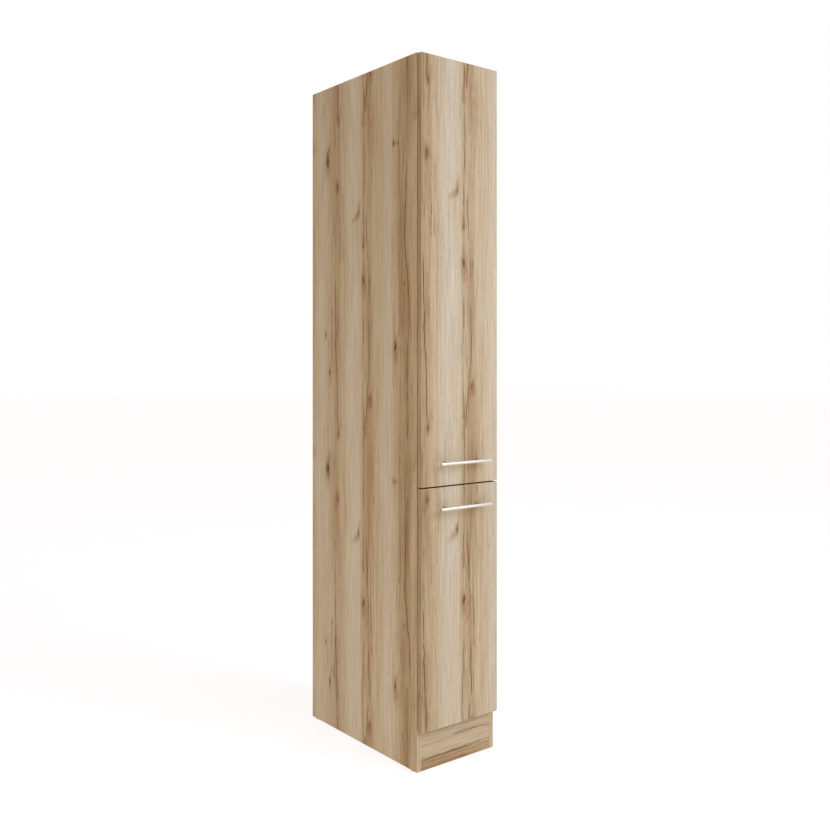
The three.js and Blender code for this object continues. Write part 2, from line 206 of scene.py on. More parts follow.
def soft_light(name, place, size, power, tint, aim):
    """A rectangular lamp that faces the point it is aimed at."""
    light = bpy.data.lights.new(name, "AREA")
    light.shape = "RECTANGLE"
    light.size, light.size_y = size
    light.energy = power
    light.color = tint
    made = bpy.data.objects.new(name, light)
    made.location = place
    made.rotation_mode = "QUATERNION"
    made.rotation_quaternion = (Vector(aim) - Vector(place)).to_track_quat("-Z", "Y")
    bpy.context.scene.collection.objects.link(made)


soft_light("key_light", (1.6, -3.6, 3.0), (2.6, 2.6), 86, (0.79, 0.89, 1.0), (0, 0, 1.3))
soft_light("side_light", (-3.4, -0.6, 2.8), (2.4, 2.8), 8, (1.0, 0.86, 0.60), (0, 0, 1.4))

AMBIENT = (0.45, 0.385, 0.30, 1.0)
WHITE = (1.0, 1.0, 1.0, 1.0)
MIRRORED_SHARE = 0.8  # how white the surroundings are to what mirrors them
world = bpy.data.worlds.new("studio")
world.use_nodes = True
surroundings = Wire(world.node_tree)
seen = surroundings.node("LightPath", None, None, "Is Camera Ray")
mirrored = surroundings.node("LightPath", None, None, "Is Glossy Ray")
world_shader = world.node_tree.nodes["Background"]
backdrop = (seen + mirrored * MIRRORED_SHARE).mix(AMBIENT, WHITE)
world.node_tree.links.new(backdrop.socket, world_shader.inputs["Color"])
bpy.context.scene.world = world


# ------------------------------------------------------------------------------ decor boards
# All boards are 16 mm chipboard with a matt foil that is printed as knotty beech, and a fine embossed grain.
# Visible edges have a thin band of the same decor, and the edges that nobody sees show the raw chipboard.
# The print is one wide sheet that starts again after each metre, and the boards are cut from it. Its places
# are in millimetres: across the grain from its left edge, and along the grain upwards.
PRINT_LENGTH = 1000.0
PRINT_WIDTH = 600.0

# How brown the wood is at places across the sheet, from 0 (sapwood) to 1 (heartwood).
PRINT_BROWN = [
    (0, 0.50), (22, 0.34), (50, 0.18), (82, 0.28), (106, 0.42), (122, 0.56), (146, 0.62), (166, 0.48),
    (184, 0.38), (205, 0.16), (235, 0.04), (266, 0.14), (282, 0.38), (300, 0.54), (318, 0.68), (334, 0.52),
    (352, 0.33), (380, 0.27), (398, 0.14), (420, 0.10), (436, 0.28), (458, 0.44), (478, 0.70), (512, 0.72),
    (530, 0.50), (560, 0.42), (600, 0.42),
]

# Hairline cracks in the heartwood: how dark, and then places (along, across) that each runs through.
PRINT_CRACKS = [
    (1.0, [(-60, 147), (60, 146), (150, 143), (210, 139), (300, 136), (380, 134), (470, 133)]),
    (0.5, [(490, 162), (560, 163), (650, 162)]),
    (0.6, [(90, 103), (150, 106), (210, 112), (300, 114), (360, 117)]),
    (0.7, [(540, 288), (600, 289), (700, 290), (860, 291), (1040, 294)]),
    (0.9, [(930, 298), (1000, 302), (1060, 308), (1100, 311), (1150, 318), (1210, 318), (1330, 316)]),
    (0.7, [(860, 291), (920, 286), (1000, 290), (1100, 284), (1160, 283), (1250, 288), (1350, 289)]),
    (0.8, [(370, 318), (440, 314), (500, 310), (550, 307), (600, 303), (650, 302)]),
    (0.4, [(280, 331), (350, 328), (400, 327), (460, 321)]),
    (0.9, [(220, 522), (300, 518), (350, 515), (400, 509), (450, 504), (500, 496), (620, 497), (800, 506)]),
    (0.6, [(-60, 508), (50, 508), (150, 504), (260, 506)]),
    (0.4, [(430, 466), (500, 472), (600, 474), (700, 470), (850, 472), (1000, 474)]),
]

# Knots: the place across, the place along, half the height, and how dark the heart is.
PRINT_KNOTS = [
    (91, 832, 22, 1.0), (152, 948, 10, 0.55), (147, 743, 11, 0.7), (441, 828, 7, 0.9), (262, 645, 11, 0.55),
    (289, 540, 8, 0.6), (289, 436, 14, 1.0), (80, 268, 9, 0.8), (102, 147, 9, 0.75), (449, 224, 13, 0.9),
    (491, 412, 7, 0.7), (321, 66, 10, 0.6), (117, 345, 7, 0.4),
]

# Reddish stains: across, along, half the width, half the height, how far they lean over, and how strong.
PRINT_STAINS = [
    (98, 866, 9, 26, 0.2, 0.5), (156, 968, 12, 34, 0.3, 0.4), (144, 742, 15, 30, 0.0, 0.5),
    (454, 828, 15, 9, -0.3, 0.5), (249, 632, 18, 17, 0.7, 0.5), (267, 668, 7, 24, 0.2, 0.4),
    (289, 560, 9, 26, 0.0, 0.5), (296, 402, 15, 36, -0.15, 0.4), (455, 194, 12, 36, 0.1, 0.5),
    (461, 262, 6, 26, 0.35, 0.4), (322, 58, 14, 28, 0.0, 0.5), (540, 893, 14, 26, 0.2, 0.4),
    (8, 885, 15, 28, 0.0, 0.4), (505, 140, 11, 110, 0.0, 0.35), (320, 990, 20, 120, 0.05, 0.25),
    (326, 880, 24, 90, 0.0, 0.3), (312, 330, 12, 80, 0.05, 0.25), (150, 640, 16, 90, 0.0, 0.3),
    (145, 240, 16, 120, 0.0, 0.3), (490, 330, 14, 60, 0.0, 0.3),
]
SPAN_MARGIN = 20.0  # how far outside its span a board still looks for cracks, knots and stains

SAPWOOD = colour(208, 195, 177)
BEECH = colour(198, 178, 151)
TAN = colour(183, 157, 126)
HEARTWOOD = colour(160, 129, 94)
RUST = colour(158, 121, 86)
BARK = colour(78, 46, 18)


def decor(name, across, along, span, brown=PRINT_BROWN, cracks=PRINT_CRACKS, marks=True, shade=1.0):
    """The printed foil. across and along say how a place on the sheet follows from a place in space: an axis,
    the millimetres on the sheet at that axis's zero, and 1 or -1 for its way. Only what is printed within the
    span across the sheet is made, and the knots and their stains only where marks is true. A shade under 1
    makes the whole foil darker, as painted shade."""

    def within(where):
        return span[0] - SPAN_MARGIN < where < span[1] + SPAN_MARGIN

    knots = [knot for knot in PRINT_KNOTS if marks and within(knot[0])]
    stains = [stain for stain in PRINT_STAINS if marks and within(stain[0])]
    cracks = [crack for crack in cracks if any(within(where) for _, where in crack[1])]
    material, shader, start = new_paint(name)
    place = start.node("TexCoord", None, None, "Object")

    def measure(axis, zero, way):
        return start.node("SeparateXYZ", None, {0: place}, axis) * (1000 * way) + zero

    side, length = measure(*across), measure(*along)

    def grain(u, width, reach, number, detail=2.0):
        """Noise round 0 in cells of this width across the grain and this reach along it."""
        spot = start.node("CombineXYZ", None, {0: u / width, 1: length / reach, 2: number})
        return start.node("TexNoise", None, {"Vector": spot, "Scale": 1.0, "Detail": detail}) - 0.5

    def from_place(where):
        """Millimetres along the grain to the nearest repeat of a place."""
        return start.maths("WRAP", length - where, PRINT_LENGTH / 2, -PRINT_LENGTH / 2)

    # Knots have a dark heart and a rusty ring with ragged edges, and they push the grain aside.
    ragged = grain(side, 9, 26, 1.3, 3.0)
    eyes, red, push = side * 0, side * 0, side * 0
    for knot_side, knot_length, half, darkness in knots:
        offset, tall = side - knot_side, from_place(knot_length) / half
        narrow = offset / (half * 0.37)
        distance = start.maths("SQRT", narrow * narrow + tall * tall)
        near = 1 - distance.rise(0.4, 4.0)
        eyes = eyes + (1 - (distance + ragged * 2.2).rise(0.1, 1.8)) * darkness
        red = red + near * darkness * 0.5
        push = push + offset * near * 0.5
    for stain_side, stain_length, half_width, half_height, lean, strength in stains:
        gap = from_place(stain_length)
        narrow, tall = (side - stain_side - gap * lean) / half_width, gap / half_height
        distance = start.maths("SQRT", narrow * narrow + tall * tall)
        red = red + (1 - (distance + ragged * 2.0).rise(0.1, 1.5)) * strength

    # The wandering place across the grain picks the brown of the bands, and their edges are feathered.
    u = side - push + grain(side, 90, 260, 2.3) * 9
    feathered = u + grain(u, 7, 210, 3.3, 3.0) * 34
    tone = (feathered / PRINT_WIDTH).curve([(where / PRINT_WIDTH, amount) for where, amount in brown])
    tone = tone * (grain(u, 60, 330, 4.3) * 1.1 + 1) + grain(u, 22, 420, 5.3) * 0.42
    tone = tone + grain(u, 4.2, 260, 6.3, 4.0) * 0.85

    # Cracks are hairlines that stray, break off here and there, and fade at their ends, in rusty wood.
    dark, rusty = side * 0, side * 0
    stray = grain(side, 40, 34, 7.3, 3.0) * 9
    for number, (depth, path) in enumerate(cracks):
        first, last = path[0][0], path[-1][0]
        reach = last - first
        run = start.maths("WRAP", length - first, PRINT_LENGTH, 0.0) / reach
        line = run.curve([((where - first) / reach, value / PRINT_WIDTH) for where, value in path])
        distance = (side - push * 0.5 - line * PRINT_WIDTH + stray).size()
        shown = run.rise(0.0, 0.12) * (1 - run.rise(0.88, 1.0)) * depth
        shown = shown * (grain(side * 0 + number, 1, 70, 8.3, 2.0) * 2.4 + 0.8).rise(0.0, 1.0)
        dark = dark + (1 - distance.rise(0.3, 2.0)) * shown
        rusty = rusty + (1 - distance.rise(0.0, 12.0)) * shown

    # Fine dark hairs, light and dark fibres, and short flecks lie over everything.
    hairs = (1 - grain(u, 11, 420, 9.3, 2.0).size().rise(0.004, 0.022)) * (tone.rise(0.1, 0.8) * 0.75 + 0.25)
    fibres = grain(u, 3.4, 110, 10.3, 3.0) * 0.52 + grain(u, 2.2, 13, 11.3) * 0.34
    flecks = grain(u, 0.45, 3.4, 12.3, 0.0).rise(0.16, 0.28) * 0.12
    wood = tone.ramp((0.0, SAPWOOD), (0.36, BEECH), (0.72, TAN), (1.0, HEARTWOOD))
    wood = (rusty * 0.3 + red).at_most(0.75).mix(wood, RUST)
    wood = wood.brighter((1 + fibres - flecks) * shade)
    wood = (dark * 1.1 + eyes * 0.85 + hairs * 0.42).at_most(0.9).mix(wood, BARK)

    # The pressed-in pores are a print of their own, apart from the colours.
    emboss = grain(side, 2.2, 60, 13.3, 2.0) + grain(side, 0.5, 4, 14.3, 0.0) * 0.5
    bump = start.node("Bump", None, {"Strength": 0.3, "Distance": 0.00012, "Height": emboss})
    connect(shader, Base_Color=wood, Roughness=0.52 - fibres * 0.5, Normal=bump, Specular_IOR_Level=0.12)
    return material


def raw_chipboard():
    """Pressed wood chips in the core of a board, as a sawn edge shows them."""
    material, shader, start = new_paint("raw_chipboard")
    place = start.node("TexCoord", None, None, "Object")
    chips = start.node("TexVoronoi", None, {"Vector": place, "Scale": 640.0, "Randomness": 1.0}, "Color")
    grey = start.node("SeparateColor", None, {0: chips}, 0)
    fine = start.node("TexNoise", None, {"Vector": place, "Scale": 2600.0, "Detail": 3.0})
    wood = (grey * 0.6 + fine * 0.4).rise(0.0, 1.0).mix(colour(148, 118, 86), colour(206, 182, 148))
    bump = start.node("Bump", None, {"Strength": 0.6, "Distance": 0.0004, "Height": grey + fine})
    connect(shader, Base_Color=wood, Roughness=0.85, Normal=bump)
    return material


# The sides are cut from the sheet's left edge, which is at the cabinet's back, and upwards from the floor.
# The fronts are cut from further across, and the print sits a little higher on them.
BOARD_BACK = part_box("left_side_panel")[1].y * 1000
FRONT_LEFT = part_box("upper_front")[0].x * 1000
FRONT_FROM = 127
PRINT_RAISED = 42
SIDE_DECOR = decor("side_decor", ("Y", BOARD_BACK, -1), ("Z", 0, 1), (0, 550))
FRONT_DECOR = decor(
    "front_decor", ("X", FRONT_FROM - FRONT_LEFT, 1), ("Z", -PRINT_RAISED, 1), (FRONT_FROM, 424)
)

# Edge bands are narrow strips of an even brown, without the sheet's marks. The fronts' top and bottom bands
# carry painted shade: they are made much darker than the decor so that the gap between the fronts is a dark
# line.
NO_MARKS = (700, 720)
EVEN_LIGHT = [(0, 0.32), (600, 0.32)]
EVEN_BROWN = [(0, 0.8), (600, 0.8)]
GAP_SHADE_BROWN = [(0, 1.0), (600, 1.0)]
EDGE_DECOR = decor("edge_decor", ("X", 0, 1), ("Z", 0, 1), NO_MARKS, EVEN_LIGHT)
LEVEL_EDGE_DECOR = decor("level_edge_decor", ("Z", 0, 1), ("X", 0, 1), NO_MARKS, EVEN_LIGHT)
FRONT_EDGE_DECOR = decor("front_edge_decor", ("Y", 450, -1), ("Z", 220, 1), NO_MARKS, EVEN_BROWN)
# Painted shade: the fronts' top and bottom bands are darkened to stand for the shade in the narrow gap
# between the fronts.
FRONT_END_SHADE = decor("front_end_painted_shade", ("Y", 300, 1), ("X", 0, 1), NO_MARKS, GAP_SHADE_BROWN, shade=0.45)

LEVEL_DECOR = decor("level_decor", ("X", 330, 1), ("Y", 300, 1), (380, 420))
PLINTH_DECOR = decor(
    "plinth_decor", ("Z", 0, 1), ("X", 0, 1), (0, 100),
    brown=[(0, 0.9), (28, 0.85), (44, 0.4), (74, 0.28), (80, 0.5), (90, 0.32), (130, 0.4), (600, 0.4)],
    cracks=[(1.0, [(-150, 30), (-60, 34), (40, 33), (110, 38)]), (0.6, [(-20, 79), (60, 80), (150, 77)])],
    marks=False,
)
CHIPBOARD = raw_chipboard()


def copied(node):
    """The shape of a CAD node as clean faces: its triangles are merged, and flat ones become one face."""
    shape = bmesh.new()
    shape.from_mesh(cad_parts[node].data)
    bmesh.ops.remove_doubles(shape, verts=shape.verts, dist=1e-5)
    bmesh.ops.dissolve_limit(
        shape, angle_limit=math.radians(1), verts=shape.verts, edges=shape.edges,
        use_dissolve_boundaries=False,
    )
    bmesh.ops.recalc_face_normals(shape, faces=shape.faces)
    return shape


def soften(shape, width, segments=2, limit=math.radians(30)):
    """Rounds every edge that is sharper than the limit."""
    sharp = [edge for edge in shape.edges if edge.is_manifold and edge.calc_face_angle() > limit]
    bmesh.ops.bevel(
        shape, geom=sharp, offset=width, offset_type="OFFSET", segments=segments, profile=0.5,
        affect="EDGES", material=-1, clamp_overlap=True,
    )


def paint_for(normal, paints):
    """The paint for the way a face looks: 'X' is for both ways along X, and '-X' only for one."""
    axis = max(range(3), key=lambda i: abs(normal[i]))
    letter = "XYZ"[axis]
    signed = ("-" if normal[axis] < 0 else "+") + letter
    return paints.get(signed) or paints.get(letter) or paints["all"]


def piece(name, shape, paints, body, replaced=(), smooth=25):
    """Makes a finished piece of a shape. paints is one material, or materials by the way that faces look."""
    if not isinstance(paints, dict):
        paints = {"all": paints}
    finishes = list(dict.fromkeys(paints.values()))
    for face in shape.faces:
        face.material_index = finishes.index(paint_for(face.normal, paints))
    mesh = bpy.data.meshes.new(name)
    shape.to_mesh(mesh)
    shape.free()
    for finish in finishes:
        mesh.materials.append(finish)
    mesh.shade_smooth()
    mesh.set_sharp_from_angle(angle=math.radians(smooth))
    made = bpy.data.objects.new(name, mesh)
    bpy.context.scene.collection.objects.link(made)
    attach(made, body)
    if replaced:
        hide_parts(*replaced)
    return made


BAND_SEAM = 0.0011  # the band's glue line shows this far in from the board's edge
SEAM_HALF_WIDTH = 0.00012
SEAM_DEPTH = 0.0001
BOARD_EASE = 0.0006
FRONT_EASE = 0.0003


def board(node, body, broad, paints, ease=BOARD_EASE):
    """A decor board with eased edges, and the hairline seam of its edge bands round both broad faces."""
    shape = copied(node)
    soften(shape, ease)
    axis = "XYZ".index(broad)
    for way in (-1, 1):
        facing = [face for face in shape.faces if face.normal[axis] * way > 0.99]
        for thickness, depth in (
            (BAND_SEAM, 0.0), (SEAM_HALF_WIDTH, -SEAM_DEPTH), (SEAM_HALF_WIDTH, SEAM_DEPTH),
        ):
            bmesh.ops.inset_region(
                shape, faces=facing, thickness=thickness, depth=depth,
                use_boundary=True, use_even_offset=True,
            )
    piece(f"banded_{node}", shape, paints, body, [node])


for side in ("left", "right"):
    paints = {"X": SIDE_DECOR, "-Y": EDGE_DECOR, "+Y": CHIPBOARD, "+Z": LEVEL_EDGE_DECOR, "-Z": CHIPBOARD}
    board(f"{side}_side_panel", "carcass", "X", paints)
for node in ("top_panel", "middle_shelf", "bottom_panel"):
    board(node, "carcass", "Z", {"Z": LEVEL_DECOR, "-Y": LEVEL_EDGE_DECOR, "+Y": CHIPBOARD, "X": CHIPBOARD})
board("plinth_board", "carcass", "Y", {"Y": PLINTH_DECOR, "X": CHIPBOARD, "Z": CHIPBOARD})
# The fronts' top and bottom faces carry the painted shade of the gap between them.
for unit in ("upper", "lower"):
    paints = {"Y": FRONT_DECOR, "X": FRONT_EDGE_DECOR, "Z": FRONT_END_SHADE}
    board(f"{unit}_front", f"{unit}_pull_out", "Y", paints, FRONT_EASE)


# ------------------------------------------------------------------------------ handles
# A round bar of satin stainless steel, turned flat at its ends, on two posts that are screwed from behind the
# front. The bar was ground round, so its fine scratches run round it.
def shaded(tone, factor):
    """A colour made darker or lighter by a factor."""
    return (*(min(value * factor, 1.0) for value in tone[:3]), 1.0)


def steel(name, tone, roughness, scratch_axis):
    """Satin steel. Its scratches lie square to the scratch axis."""
    material, shader, start = new_paint(name)
    place = start.node("TexCoord", None, None, "Object")
    stretch = Vector((150.0, 150.0, 150.0))
    stretch["XYZ".index(scratch_axis)] = 9000.0
    spread = start.node("VectorMath", {"operation": "MULTIPLY"}, {0: place, 1: stretch})
    scratches = start.node("TexNoise", None, {"Vector": spread, "Scale": 1.0, "Detail": 3.0})
    cloud = start.node("TexNoise", None, {"Vector": place, "Scale": 60.0, "Detail": 2.0})
    metal = (scratches * 0.6 + cloud * 0.4).rise(0.25, 0.75).mix(shaded(tone, 0.86), tone)
    bump = start.node("Bump", None, {"Strength": 0.12, "Distance": 0.00003, "Height": scratches})
    connect(shader, Base_Color=metal, Metallic=1.0, Normal=bump)
    connect(shader, Roughness=scratches * 0.22 + (roughness - 0.11))
    return material


SATIN_STEEL = steel("satin_steel", colour(228, 223, 214), 0.42, "X")
POST_STEEL = steel("post_steel", colour(214, 212, 206), 0.34, "Y")
POST_SHORT_OF_AXIS = 0.003  # a post goes into the bar, but stops this far from its middle
ALONG = {
    "X": Matrix.Rotation(math.pi / 2, 4, "Y"),
    "Y": Matrix.Rotation(math.pi / 2, 4, "X"),
    "Z": Matrix(),
}


def add_rod(shape, axis, centre, radius, length, segments):
    """Adds a closed round rod that lies along an axis."""
    bmesh.ops.create_cone(
        shape, cap_ends=True, segments=segments, radius1=radius, radius2=radius, depth=length,
        matrix=Matrix.Translation(centre) @ ALONG[axis],
    )


for unit in ("upper", "lower"):
    low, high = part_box(f"{unit}_handle_bar")
    middle = (low + high) / 2
    bar = bmesh.new()
    add_rod(bar, "X", middle, (high.z - low.z) / 2, high.x - low.x, 64)
    soften(bar, 0.0007, 3, math.radians(60))
    piece(f"{unit}_bar", bar, SATIN_STEEL, f"{unit}_pull_out", [f"{unit}_handle_bar"], 30)
    for side in ("left", "right"):
        node = f"{unit}_handle_post_{side}"
        post_low, post_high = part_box(node)
        radius = (post_high.z - post_low.z) / 2
        centre = (post_low + post_high) / 2
        reach = post_high.y - middle.y - POST_SHORT_OF_AXIS
        post = bmesh.new()
        add_rod(post, "Y", (centre.x, post_high.y - reach / 2, centre.z), radius, reach, 48)
        soften(post, 0.0005, 2, math.radians(60))
        piece(f"{unit}_post_{side}", post, POST_STEEL, f"{unit}_pull_out", [node], 30)


# ------------------------------------------------------------------------------ back
# Two lengths of 3 mm hardboard in the grooves of the sides, painted white inside and raw brown outside. A
# white plastic strip joins them, and they are nailed to the rear edges of the shelves.
def hardboard(name, light, dark, roughness, relief):
    """Pressed wood fibres in a cloudy mix of two colours."""
    material, shader, start = new_paint(name)
    place = start.node("TexCoord", None, None, "Object")
    fibres = start.node("TexNoise", None, {"Vector": place, "Scale": 900.0, "Detail": 5.0, "Roughness": 0.7})
    cloud = start.node("TexNoise", None, {"Vector": place, "Scale": 9.0, "Detail": 3.0})
    board_colour = (fibres * 0.7 + cloud * 0.5).rise(0.35, 0.85).mix(dark, light)
    bump = start.node("Bump", None, {"Strength": relief, "Distance": 0.0002, "Height": fibres})
    connect(shader, Base_Color=board_colour, Roughness=roughness, Normal=bump)
    return material


RAW_HARDBOARD = hardboard("raw_hardboard", colour(172, 135, 98), colour(136, 100, 68), 0.75, 0.7)
WHITE_HARDBOARD = hardboard("white_hardboard", colour(238, 237, 232), colour(228, 226, 220), 0.55, 0.25)


def moulded(name, tone, roughness):
    """Moulded plastic with a fine spark-eroded grain."""
    material, shader, start = new_paint(name)
    place = start.node("TexCoord", None, None, "Object")
    pits = start.node("TexNoise", None, {"Vector": place, "Scale": 2400.0, "Detail": 2.0})
    cloud = start.node("TexNoise", None, {"Vector": place, "Scale": 30.0, "Detail": 2.0})
    dull = shaded(tone, 0.92)
    bump = start.node("Bump", None, {"Strength": 0.3, "Distance": 0.00008, "Height": pits})
    connect(shader, Base_Color=cloud.rise(0.3, 0.7).mix(dull, tone), Normal=bump)
    connect(shader, Roughness=pits * 0.2 + (roughness - 0.1))
    return material


WHITE_PLASTIC = moulded("white_plastic", colour(236, 235, 230), 0.45)
for half in ("lower", "upper"):
    node = f"back_panel_{half}"
    sheet = copied(node)
    soften(sheet, 0.0003, 1)
    paints = {"-Y": WHITE_HARDBOARD, "all": RAW_HARDBOARD}
    piece(f"hardboard_{half}", sheet, paints, "carcass", [node])
strip = copied("back_joint_strip")
soften(strip, 0.0003, 2)
piece("joint_strip", strip, WHITE_PLASTIC, "carcass", ["back_joint_strip"])


# ------------------------------------------------------------------------------ sheet steel and runners
# The runners are rolled from zinc-plated strip, and guide channels and front brackets are pressed from it.
# Carriages and hoops are welded and powder-coated silver grey. Guide blocks and floor glides are moulded.
def zinc_plate():
    """Bright zinc with the faint spangle and haze of plated strip."""
    material, shader, start = new_paint("zinc_plate")
    place = start.node("TexCoord", None, None, "Object")
    spangle = start.node("TexVoronoi", None, {"Vector": place, "Scale": 420.0}, "Color")
    grey = start.node("SeparateColor", None, {0: spangle}, 0)
    haze = start.node("TexNoise", None, {"Vector": place, "Scale": 45.0, "Detail": 4.0})
    metal = (grey * 0.35 + haze * 0.65).rise(0.1, 0.9).mix(colour(186, 190, 194), colour(208, 211, 214))
    bump = start.node("Bump", None, {"Strength": 0.08, "Distance": 0.00005, "Height": haze})
    connect(shader, Base_Color=metal, Metallic=1.0, Roughness=haze * 0.3 + 0.2, Normal=bump)
    return material


def powder_coat(name, tone):
    """Powder coat with its fine orange peel and a trace of metal flake."""
    material, shader, start = new_paint(name)
    place = start.node("TexCoord", None, None, "Object")
    peel = start.node("TexNoise", None, {"Vector": place, "Scale": 750.0, "Detail": 1.0})
    flake = start.node("TexVoronoi", None, {"Vector": place, "Scale": 3600.0}, "Color")
    bright = start.node("SeparateColor", None, {0: flake}, 0).rise(0.7, 1.0)
    coat = (bright * 0.5).mix(tone, shaded(tone, 1.5))
    bump = start.node("Bump", None, {"Strength": 0.2, "Distance": 0.00008, "Height": peel})
    connect(shader, Base_Color=coat, Metallic=0.55, Roughness=peel * 0.2 + 0.32, Normal=bump)
    return material


ZINC = zinc_plate()
SILVER_GREY = powder_coat("silver_grey_coat", colour(176, 179, 181))
GREY_NYLON = moulded("grey_nylon", colour(140, 143, 146), 0.5)
BLACK_PLASTIC = moulded("black_plastic", colour(38, 38, 38), 0.5)


def eased(node, paint, body, width, segments=2):
    """A CAD node with rounded edges, as rolled, pressed or moulded pieces have."""
    shape = copied(node)
    soften(shape, width, segments)
    return piece(f"eased_{node}", shape, paint, body, [node])


for unit in ("upper", "lower"):
    pull_out = f"{unit}_pull_out"
    for side in ("left", "right"):
        eased(f"{unit}_cabinet_rail_{side}", ZINC, "carcass", 0.0005)
        eased(f"{unit}_middle_rail_{side}", ZINC, f"{unit}_runner_middles", 0.0005)
        eased(f"{unit}_carriage_rail_{side}", ZINC, pull_out, 0.0005)
    eased(f"{unit}_guide_rail", ZINC, "carcass", 0.0005)
    eased(f"{unit}_carriage_pan", SILVER_GREY, pull_out, 0.0006)
    eased(f"{unit}_hoop_frame", SILVER_GREY, pull_out, 0.002, 3)
    eased(f"{unit}_guide_block", GREY_NYLON, pull_out, 0.0012, 3)
    for level in ("low", "high"):
        eased(f"{unit}_front_bracket_{level}", ZINC, pull_out, 0.0006)
for side in ("left", "right"):
    for end in ("front", "rear"):
        eased(f"floor_glide_{side}_{end}", BLACK_PLASTIC, "carcass", 0.0004)


# ------------------------------------------------------------------------------ ball cages
# Each runner has two ball cages, one between its cabinet and middle members and one between its middle and
# carriage members. A cage is a thin pressed strip above and below, with hardened balls clinched into it.
RAIL_WALL = 0.0013
BALL_RADIUS = 0.0009
BALL_PITCH = 0.01
CAGE_WIDTH = 0.003
CAGE_THICKNESS = 0.0005
CAGE_END = 0.009  # a cage stops this far from each end of the stretch that its rails share at full travel


def bead(shape, place, radius):
    """Adds a small ball."""
    bmesh.ops.create_uvsphere(
        shape, u_segments=10, v_segments=6, radius=radius, matrix=Matrix.Translation(place)
    )


def ball_strip(shape, across, front, rear, level):
    """Adds one strip of a cage with its balls."""
    size = Matrix.Diagonal((CAGE_WIDTH, rear - front, CAGE_THICKNESS, 1))
    centre = Matrix.Translation((across, (front + rear) / 2, level))
    bmesh.ops.create_cube(shape, size=1, matrix=centre @ size)
    count = int((rear - front) / BALL_PITCH)
    spare = (rear - front - (count - 1) * BALL_PITCH) / 2
    for number in range(count):
        bead(shape, (across, front + spare + number * BALL_PITCH, level), BALL_RADIUS)


for unit in ("upper", "lower"):
    rails = [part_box(f"{unit}_{member}_rail_left") for member in ("cabinet", "middle", "carriage")]
    cabinet_half, middle_half, carriage_half = ((high.z - low.z) / 2 for low, high in rails)
    _, (middle_low, middle_high), (carriage_low, _) = rails
    rail_level = (middle_low.z + middle_high.z) / 2
    halfway = (middle_low.y + middle_high.y) / 2
    cages = bmesh.new()
    for side in (-1, 1):
        for way in (-1, 1):
            across = -side * (middle_low.x + middle_high.x) / 2
            level = rail_level + way * (cabinet_half - RAIL_WALL + middle_half) / 2
            ball_strip(cages, across, halfway + CAGE_END, middle_high.y - CAGE_END, level)
            across = -side * (middle_high.x + carriage_low.x) / 2
            level = rail_level + way * (middle_half - RAIL_WALL + carriage_half) / 2
            ball_strip(cages, across, middle_low.y + CAGE_END, halfway - CAGE_END, level)
    piece(f"{unit}_ball_cages", cages, ZINC, f"{unit}_runner_middles", smooth=50)


# ------------------------------------------------------------------------------ screws
# Zinc-plated pan-head screws, turned and rolled, with a round driver recess, hold the handles, the front
# brackets, the hoops and the runners. Flat rivets clinch the runners' carriage members to the carriage.
def turned(shape, profile, seat, outward, segments=24):
    """Adds a solid of revolution. The profile is (radius, height) from axis to axis, and its height 0 lies at
    the seat."""
    before = set(shape.verts)
    corners = [shape.verts.new((radius, 0, height)) for radius, height in profile]
    chain = [shape.edges.new(pair) for pair in zip(corners, corners[1:])]
    bmesh.ops.spin(
        shape, geom=corners + chain, cent=(0, 0, 0), axis=(0, 0, 1), angle=2 * math.pi, steps=segments,
        use_merge=True, use_duplicate=False,
    )
    added = [vert for vert in shape.verts if vert not in before]
    bmesh.ops.remove_doubles(shape, verts=added, dist=1e-6)
    added = [vert for vert in shape.verts if vert not in before]
    faces = list(dict.fromkeys(face for vert in added for face in vert.link_faces))
    bmesh.ops.recalc_face_normals(shape, faces=faces)
    turn = Vector(outward).to_track_quat("Z", "Y").to_matrix().to_4x4()
    bmesh.ops.transform(shape, matrix=Matrix.Translation(seat) @ turn, verts=added)


def pan_screw(shape, seat, outward, radius, height, shaft_radius=0.0015, shaft_length=0.0008):
    """Adds a screw with its head on the seat. Only as much of its shaft is made as the length says."""
    recess = min(height * 0.7, 0.0016)
    turned(
        shape,
        [
            (0, height - recess), (radius * 0.36, height - recess), (radius * 0.44, height),
            (radius * 0.72, height * 0.95), (radius * 0.93, height * 0.66), (radius, height * 0.3),
            (radius, 0), (shaft_radius, 0), (shaft_radius, -shaft_length), (0, -shaft_length),
        ],
        seat, outward,
    )


